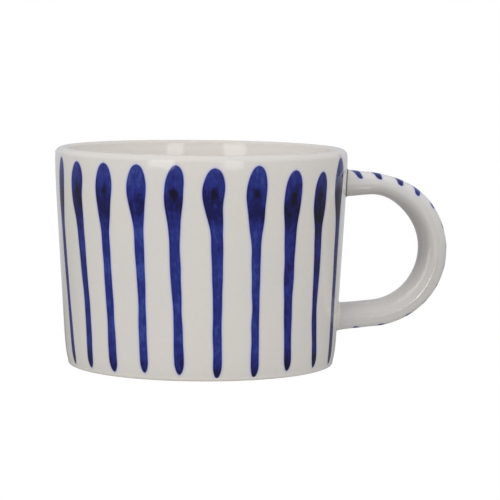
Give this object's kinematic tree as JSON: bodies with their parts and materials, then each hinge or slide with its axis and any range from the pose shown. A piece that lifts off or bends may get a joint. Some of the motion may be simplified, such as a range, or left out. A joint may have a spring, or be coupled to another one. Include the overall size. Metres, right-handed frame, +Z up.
{
  "type": "stoneware mug",
  "caption": "Wide low stoneware mug with a gently flared straight wall, rounded rim, low foot ring and a round ring handle, painted with tall brush strokes.",
  "frame": {"origin": "on the surface the mug stands on, under the middle of its bounding box; the cup's own axis stands at x = -0.01637", "axes": "+Z up along the cup's axis, +X from the cup towards its handle"},
  "size_m": [0.1278, 0.095, 0.0706],
  "materials": {
    "glazed_stoneware": "gloss",
    "bare_stoneware": "matte",
    "joining_slip": "satin",
    "cobalt_brushwork": "gloss"
  },
  "bodies": {
    "root": {"cup_body": "glazed_stoneware", "foot_ring": "bare_stoneware", "handle": "glazed_stoneware", "upper_slip_joint": "joining_slip", "lower_slip_joint": "joining_slip"}
  },
  "joints": []
}
